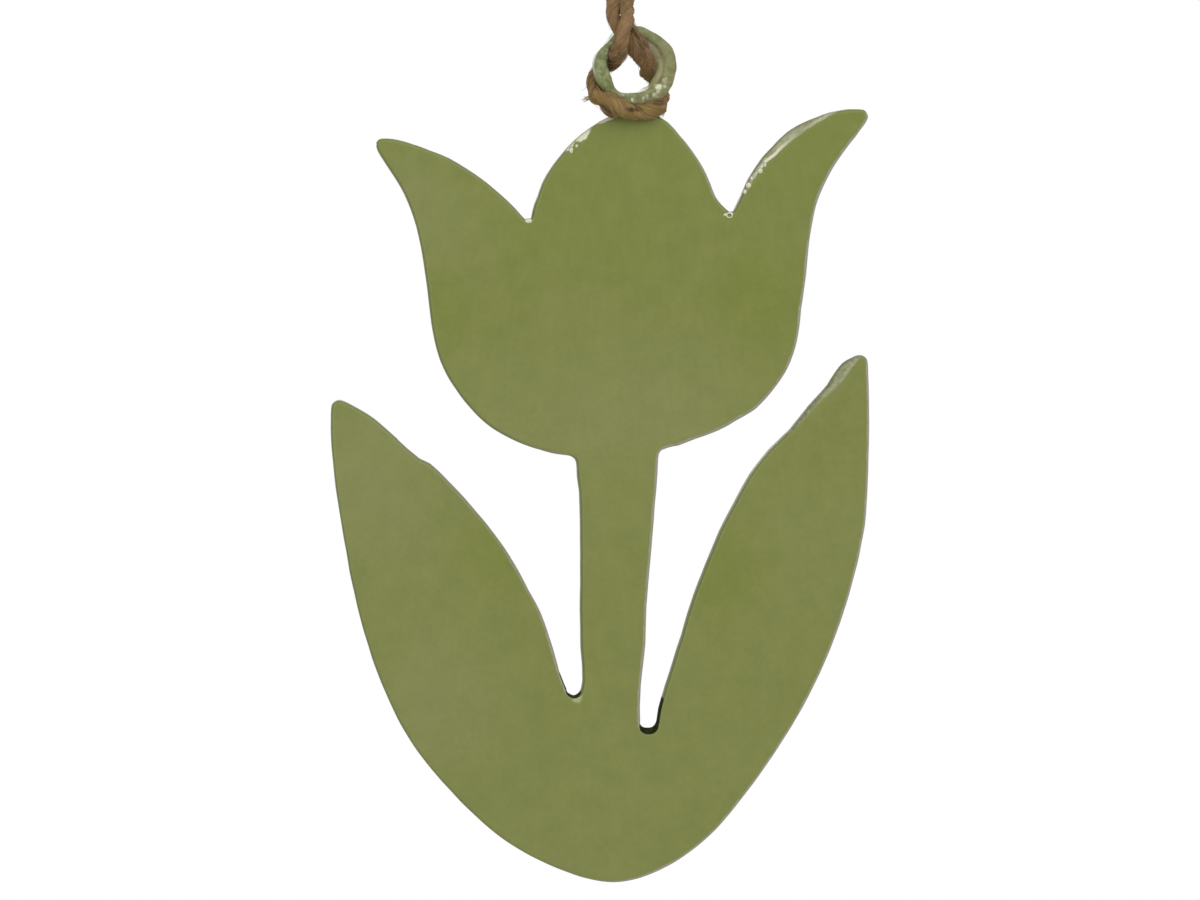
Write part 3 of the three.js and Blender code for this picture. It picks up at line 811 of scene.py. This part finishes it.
def bead_mesh():
    """Beads of enamel that ran together on the rim, each a low uneven drop."""
    verts, faces, crown, around, rings = [], [], [], 18, 12
    for number, (x, z, wide, high, pit) in enumerate(BEADS):
        faces += tube_faces(rings, around, len(verts))
        for r in range(rings + 1):
            rise = pi * r / rings
            for k in range(around):
                angle = 2 * pi * k / around
                lean = Vector((cos(angle) * sin(rise), cos(rise), sin(angle) * sin(rise)))
                swell = 1 + 0.2 * noise(lean * 0.8 + Vector((number * 3.7, 0, 0)))
                sunk = PINHOLE_DEPTH * max(0.0, 1 - rise / 0.5) * pit
                y = BEAD_LEVEL - lean.y * BEAD_DEPTH * swell + sunk
                verts.append((x + lean.x * wide * swell, y, z + lean.z * high * swell))
                crown.append(0.0 if pit and rise < 0.35 else lean.y)
    return outward(mesh_object("enamel_beads_on_rim", verts, faces, crown=crown), merge=1e-7)


plate, plate_kinds = plate_mesh()
beads = bead_mesh()
for piece in (plate, beads):
    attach(piece, "ornament")
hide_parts("tulip_plate")


# The ring and its braze

# Drops of enamel on the ring's front, painted pale as highlights: degrees round it, radius, size and how pale.
DROPS = [
    (-44, 3.6, 0.52, 0.88), (-50, 3.9, 0.4, 0.7), (-27, 3.7, 0.6, 0.55), (-60, 3.9, 0.45, 0.75), (-72, 3.8, 0.45, 0.6),
    (-81, 3.9, 0.4, 0.65), (-92, 3.8, 0.3, 0.35), (-101, 4.1, 0.3, 0.85), (-36, 4.1, 0.45, 0.45), (-118, 4, 0.4, 0.4),
    (160, 4.1, 0.6, 0.4), (144, 4.1, 0.4, 0.4),
]
DROP_RISE = 0.06
ENAMEL_SETBACK = 0.02
RING_TURNS = 176
# The braze's remeshing and how far it swells, in metres.
BRAZE_VOXEL = 0.00011
BRAZE_SWELL = 0.0002


def rounded_section(half_u, half_v, edge):
    """A rounded rectangle's points, anticlockwise."""
    points, inner_u, inner_v = [], half_u - edge, half_v - edge
    corners = ((1, 1), (-1, 1), (-1, -1), (1, -1))
    for quarter, (cu, cv) in enumerate(corners):
        for k in range(8):
            angle = pi / 2 * (quarter + k / 7)
            points.append((cu * inner_u + edge * cos(angle), cv * inner_v + edge * sin(angle)))
        u, v = points[-1]
        cu, cv = corners[(quarter + 1) % 4]
        nu, nv = (u, cv * inner_v) if quarter % 2 else (cu * inner_u, v)
        points += [(u + (nu - u) * k / 4, v + (nv - v) * k / 4) for k in (1, 2, 3)]
    return points


def ring_mesh():
    """The slice of tube, hand-shaped, with soft edges and drops of enamel."""
    verts, bore, drops = [], [], []
    for i in range(RING_TURNS):
        a = 2 * pi * i / RING_TURNS
        middle, half, tilt = ring_section(a)
        for u, v in rounded_section(half - ENAMEL_SETBACK, RING_HALF - ENAMEL_SETBACK, RING_EDGE):
            p = u * cos(tilt) - v * sin(tilt)
            q = u * sin(tilt) + v * cos(tilt)
            spot = Vector((cos(a) * 4.0, sin(a) * 4.0, q * 0.8))
            swell = 1 + 0.05 * noise(spot * 0.8) + 0.06 * noise(spot * 2.1)
            radius = middle + p * swell
            local = Vector((radius * cos(a), q * (swell * 0.5 + 0.5), radius * sin(a)))
            drop = 0.0
            for place, far, size, much in DROPS:
                there = Vector((cos(radians(place)), sin(radians(place)))) * far
                gap = hypot(local.x - there.x, local.z - there.y) / size
                if gap < 1 and v < -0.3:
                    drop = max(drop, much * (1 - gap * gap))
            local.y -= DROP_RISE * drop * drop
            verts.append(RING_CENTRE + RING_TURNED @ local)
            inside = min(max((-0.1 - u / half) / 0.7, 0.0), 1.0)
            bore.append(inside * min(max((v + RING_HALF - 0.25) / 0.6, 0.0), 1.0))
            drops.append(drop)
    total = len(verts)
    faces = [tuple(i % total for i in face) for face in tube_faces(RING_TURNS, total // RING_TURNS)]
    return outward(mesh_object("hanging_ring_enamelled", verts, faces, bore=bore, drop=drops))


ring = ring_mesh()
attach(ring, "ornament")
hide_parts("hanging_ring")


def braze_mesh():
    """The CAD saddle, swelled and smoothed into a fillet that meets the ring and the petal."""
    obj = link_object("ring_braze_fillet", NODES["ring_braze"].data.copy())
    obj.data.name = "ring_braze_fillet"
    for kind, values in (
        ("REMESH", {"mode": "VOXEL", "voxel_size": BRAZE_VOXEL}),
        ("DISPLACE", {"strength": BRAZE_SWELL, "mid_level": 0.0}),
        ("SMOOTH", {"iterations": 6, "factor": 0.6}),
    ):
        modifier = obj.modifiers.new(kind.lower(), kind)
        for key, value in values.items():
            setattr(modifier, key, value)
    graph = bpy.context.evaluated_depsgraph_get()
    made = bpy.data.meshes.new_from_object(obj.evaluated_get(graph))
    obj.modifiers.clear()
    obj.data = made
    made.polygons.foreach_set("use_smooth", [True] * len(made.polygons))
    return obj


bpy.context.view_layer.update()
braze = braze_mesh()
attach(braze, "ornament")
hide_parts("ring_braze")


# Materials

FACE_SPECULAR = 0.4
RIM_SPECULAR = 0.15


class Nodes:
    """The nodes of a material or the world, with short ways to add them."""

    def __init__(self, owner):
        owner.use_nodes = True
        self.tree = owner.node_tree
        self.tree.nodes.clear()

    def add(self, kind, inputs=(), **settings):
        """A node, with its inputs fed with numbers, colours or the outputs of other nodes."""
        node = self.tree.nodes.new("ShaderNode" + kind)
        for name, value in settings.items():
            setattr(node, name, value)
        for key, value in dict(inputs).items():
            if isinstance(value, bpy.types.NodeSocket):
                self.tree.links.new(value, node.inputs[key])
            else:
                node.inputs[key].default_value = value
        return node

    def maths(self, operation, a, b=0.0):
        return self.add("Math", {0: a, 1: b}, operation=operation).outputs[0]

    def plus(self, a, b):
        return self.maths("ADD", a, b)

    def less(self, a, b):
        return self.maths("SUBTRACT", a, b)

    def times(self, a, b):
        return self.maths("MULTIPLY", a, b)


class Paint(Nodes):
    """A material, painted over the piece's own coordinates."""

    def __init__(self, name):
        self.material = bpy.data.materials.new(name)
        super().__init__(self.material)
        self.place = self.add("TexCoord").outputs["Object"]

    def axis(self, name):
        return self.add("SeparateXYZ", {"Vector": self.place}).outputs[name]

    def attribute(self, name, output="Fac"):
        return self.add("Attribute", attribute_name=name).outputs[output]

    def noise(self, scale, detail, roughness=0.55, vector=None):
        inputs = {"Vector": vector or self.place, "Scale": scale, "Detail": detail, "Roughness": roughness}
        return self.add("TexNoise", inputs).outputs["Fac"]

    def remap(self, value, low, high, to_low=0.0, to_high=1.0):
        inputs = {"Value": value, "From Min": low, "From Max": high, "To Min": to_low, "To Max": to_high}
        return self.add("MapRange", inputs).outputs["Result"]

    def mix(self, factor, a, b):
        return self.add("Mix", {"Factor": factor, "A": a, "B": b}, data_type="RGBA").outputs["Result"]

    def finish(self, base, roughness, specular=0.5, bump=None):
        """The finished material; bump is a height, a strength and a distance."""
        inputs = {"Base Color": base, "Roughness": roughness, "Specular IOR Level": specular}
        if bump:
            node = self.add("Bump", zip(("Height", "Strength", "Distance"), bump))
            inputs["Normal"] = node.outputs["Normal"]
        shader = self.add("BsdfPrincipled", inputs)
        self.add("OutputMaterial", {"Surface": shader.outputs["BSDF"]})
        return self.material


def enamel_material(name, specular):
    """Green enamel: mottled on the face and paler towards the bottom as a painted reflection, with a rim line painted
    lit on edges facing right and shaded on the others, thin and worn on the filed bands with painted highlights on
    them, a painted highlight beside the left slot and painted shade on the slot walls.
    """
    m = Paint(name)
    broad, fine, small, grain = m.noise(60, 3), m.noise(420, 4, 0.65), m.noise(1700, 3, 0.6), m.noise(2600, 2)
    # Painted reflection: the enamel goes paler and greyer towards the bottom and in the sheen patches.
    lower_sheen = m.remap(m.axis("Z"), -0.048, -0.085, 0, 0.3)
    sheen_and_tone = m.plus(m.plus(lower_sheen, m.times(broad, 0.45)), m.times(m.attribute("sheen_and_tone"), 0.35))
    base = m.mix(m.remap(sheen_and_tone, 0, 0.9), rgb(102, 112, 22), rgb(122, 125, 76))
    speck = m.mix(m.remap(fine, 0.32, 0.7), rgb(98, 108, 40), rgb(126, 132, 62))
    mottle = m.mix(m.remap(small, 0.3, 0.7), rgb(100, 108, 28), rgb(124, 128, 74))
    body = m.mix(0.16, m.mix(0.25, base, speck), mottle)
    edge = m.attribute("rim")
    uneven = m.plus(m.times(fine, 0.6), m.times(small, 0.5))
    ragged = m.plus(edge, m.times(m.less(uneven, 0.55), 0.6))
    # Painted light and shade on the rim: a pale grey line along edges facing right and down, a dark green one along
    # edges facing left and up.
    facing = m.remap(m.attribute("facing"), -0.1, 0.7)
    line = m.mix(facing, rgb(106, 112, 66), rgb(156, 150, 136))
    reach = m.less(ragged, m.times(facing, 0.21))
    body = m.mix(m.remap(reach, 0.24, 0.05, 0, 0.85), body, line)
    band = m.attribute("band")
    inside = m.less(band, ragged)
    filed = m.times(m.remap(inside, -0.02, 0.1), m.remap(band, 0.05, 0.2))
    worn = m.mix(m.remap(small, 0.35, 0.65), rgb(112, 116, 78), rgb(146, 147, 112))
    body = m.mix(filed, body, worn)
    # Painted highlight on the filed bands: a cream streak near the band's inner edge, and the whole band paled where
    # the table gives it.
    away = m.maths("ABSOLUTE", m.less(inside, 0.2))
    streak = m.times(m.attribute("streak"), m.remap(away, 0.3, 0.1))
    band_highlight = m.times(m.attribute("band_highlight"), m.remap(inside, 0, 0.15))
    body = m.mix(m.times(m.maths("MAXIMUM", streak, band_highlight), filed), body, rgb(212, 210, 184))
    outline = m.times(filed, m.remap(edge, 0.14, 0.04, 0, 0.75))
    body = m.mix(outline, body, rgb(96, 98, 66))
    # Painted highlight: a pale green patch beside the left slot.
    body = m.mix(m.times(m.attribute("highlight_patch"), 0.85), body, rgb(160, 164, 112))
    # Painted shade on the slot walls.
    body = m.mix(m.attribute("slot_shade"), body, rgb(26, 30, 9))
    rough = m.plus(m.remap(fine, 0.3, 0.75, 0.34, 0.46), m.times(filed, 0.12))
    height = m.plus(m.times(fine, 0.6), m.times(grain, 0.25))
    return m.finish(body, rough, specular, (height, 0.25, 0.00006))


def slot_shade_material():
    """Painted shade: the nearly black, unpolished wall that the saw left in the slots."""
    m = Paint("slot_wall_painted_shade")
    small = m.noise(1700, 3, 0.6)
    base = m.mix(m.remap(small, 0.35, 0.65), rgb(26, 31, 8), rgb(50, 55, 24))
    return m.finish(base, m.remap(small, 0.3, 0.7, 0.9, 1), 0.04, (small, 0.4, 0.00008))


def bead_material():
    m = Paint("enamel_bead")
    small = m.noise(1700, 3, 0.6)
    # Painted highlight on the beads' crowns; painted shadow on their skirts and in their pinholes.
    highlight_cream = m.mix(m.remap(small, 0.35, 0.65), rgb(184, 184, 152), rgb(214, 212, 188))
    base = m.mix(m.remap(m.attribute("crown"), 0.4, 0.75), rgb(92, 98, 60), highlight_cream)
    return m.finish(base, m.remap(small, 0.3, 0.7, 0.14, 0.24), bump=(small, 0.2, 0.00005))


def ring_material():
    """Enamel that is greyer to the right, pale in the bore as painted light and nearly white on its drops as painted
    highlights.
    """
    m = Paint("ring_enamel")
    broad, fine, cells = m.noise(260, 3), m.noise(1300, 4, 0.7), m.noise(800, 2, 0.5)
    base = m.mix(m.remap(broad, 0.3, 0.7), rgb(108, 116, 60), rgb(124, 128, 84))
    spots = m.mix(m.remap(fine, 0.38, 0.62), rgb(84, 94, 42), rgb(154, 158, 122))
    base = m.mix(0.5, base, spots)
    base = m.mix(m.remap(cells, 0.54, 0.64, 0, 0.45), base, rgb(160, 166, 130))
    base = m.mix(m.remap(m.axis("X"), 0.002, 0.007, 0, 0.5), base, rgb(128, 120, 80))
    # Painted light: the bore is painted pale, palest at its top, to lift the shade inside the ring.
    wall = m.mix(m.remap(m.axis("Z"), -0.0445, -0.0415), rgb(170, 168, 122), rgb(238, 234, 186))
    base = m.mix(m.times(m.attribute("bore"), m.remap(cells, 0.4, 0.6, 0.65, 0.95)), base, wall)
    # Painted highlights: the drops go nearly white.
    drop = m.plus(m.attribute("drop"), m.plus(m.times(fine, 1.1), m.times(cells, 0.9)))
    base = m.mix(m.remap(drop, 1.3, 1.75), base, rgb(208, 212, 180))
    height = m.plus(m.times(fine, 0.5), m.times(cells, 0.6))
    return m.finish(base, m.remap(fine, 0.3, 0.75, 0.3, 0.46), 0.26, (height, 0.6, 0.00016))


def braze_material():
    m = Paint("braze_enamel")
    fine = m.noise(900, 4, 0.7)
    base = m.mix(m.remap(fine, 0.3, 0.7), rgb(88, 92, 52), rgb(122, 124, 82))
    return m.finish(base, m.remap(fine, 0.3, 0.75, 0.3, 0.5), bump=(fine, 0.5, 0.0001))


def jute_material():
    """Twine streaked along its plies, with a painted olive reflection of the enamel low on the ring and painted shade
    in its grooves and shade patches.
    """
    m = Paint("jute_twine")
    lay = m.add("Mapping", {"Vector": m.attribute("lay", "Vector"), "Scale": (7, 7, 0.5)}).outputs["Vector"]
    streak, patch = m.noise(1, 5, 0.7, lay), m.noise(480, 3)
    base = m.mix(m.remap(streak, 0.34, 0.66), rgb(98, 72, 42), rgb(162, 130, 90))
    tint = m.mix(m.remap(patch, 0.35, 0.7), rgb(100, 78, 40), rgb(156, 121, 84))
    # Painted reflection: low on the ring the twine takes an olive tint from the green enamel.
    low = m.remap(m.axis("Z"), -0.0405, -0.0475, 0, 0.52)
    both = m.mix(low, m.mix(0.55, base, tint), rgb(142, 124, 60))
    # Painted shade: the grooves and the shade patches go dark brown.
    base = m.mix(m.remap(m.attribute("groove"), 0.15, 1, 0, 0.9), both, rgb(50, 36, 16))
    return m.finish(base, m.remap(streak, 0.2, 0.8, 0.95, 0.75), 0.25, (streak, 0.6, 0.0001))


def fibre_material():
    m = Paint("jute_fibre")
    value = m.plus(m.times(m.attribute("shade"), 0.7), m.times(m.noise(900, 2), 0.3))
    return m.finish(m.mix(value, rgb(104, 80, 50), rgb(176, 146, 110)), 0.8, 0.25)


def dress(slot, material, *pieces):
    for piece in pieces:
        piece.data.materials.clear()
        piece.data.materials.append(material)


dress("green_enamel", enamel_material("green_enamel", FACE_SPECULAR), plate)
plate.data.materials.append(enamel_material("green_enamel_rim", RIM_SPECULAR))
plate.data.materials.append(slot_shade_material())
plate.data.polygons.foreach_set("material_index", plate_kinds)
dress("green_enamel", bead_material(), beads)
dress("ring_enamel", ring_material(), ring)
dress("braze_enamel", braze_material(), braze)
dress("jute_twine", jute_material(), *strands)
dress("jute_twine", fibre_material(), *fuzz)


# Floor, world and lamps

FLOOR_POINTS = 96
FLOOR_RADIUS = 500.0
FLOOR_LEVEL = -300.0
WORLD_STRENGTH = 0.42


def make_floor():
    angles = [2 * pi * i / FLOOR_POINTS for i in range(FLOOR_POINTS)]
    verts = [(FLOOR_RADIUS * cos(a), FLOOR_RADIUS * sin(a), FLOOR_LEVEL) for a in angles]
    obj = mesh_object("floor", verts, [list(range(FLOOR_POINTS))], smooth=False)
    m = Paint("pale_floor")
    base = m.mix(m.noise(6, 2), (0.84, 0.84, 0.83, 1), (0.88, 0.88, 0.87, 1))
    obj.data.materials.append(m.finish(base, 0.9))


make_floor()


def make_world():
    """A soft white light all round, and pure white where the camera sees it."""
    world = bpy.data.worlds.new("studio")
    bpy.context.scene.world = world
    w = Nodes(world)
    soft, white = (
        w.add("Background", {"Color": (1, 1, 1, 1), "Strength": strength}).outputs[0]
        for strength in (WORLD_STRENGTH, 1.0)
    )
    path = w.add("LightPath").outputs
    seen = w.maths("MAXIMUM", path["Is Camera Ray"], path["Is Glossy Ray"])
    seen = w.maths("MAXIMUM", seen, path["Is Transmission Ray"])
    both = w.add("MixShader", {"Fac": seen, 1: soft, 2: white})
    w.add("OutputWorld", {"Surface": both.outputs[0]})


make_world()


def make_lamp(name, location, size, power, target=(0, 0, -0.085)):
    data = bpy.data.lights.new(name, "AREA")
    data.shape = "DISK"
    data.size = size
    data.energy = power
    obj = link_object(name, data)
    obj.location = location
    obj.rotation_euler = (Vector(target) - Vector(location)).to_track_quat("-Z", "Y").to_euler()


make_lamp("key", (0.3, -0.5, 0.36), 0.8, 3.0)
make_lamp("fill", (-0.45, -0.6, 0.12), 0.8, 2.3)
make_lamp("back", (-0.1, 0.6, 0.3), 0.7, 2.2)

bpy.context.scene.view_settings.view_transform = "Standard"
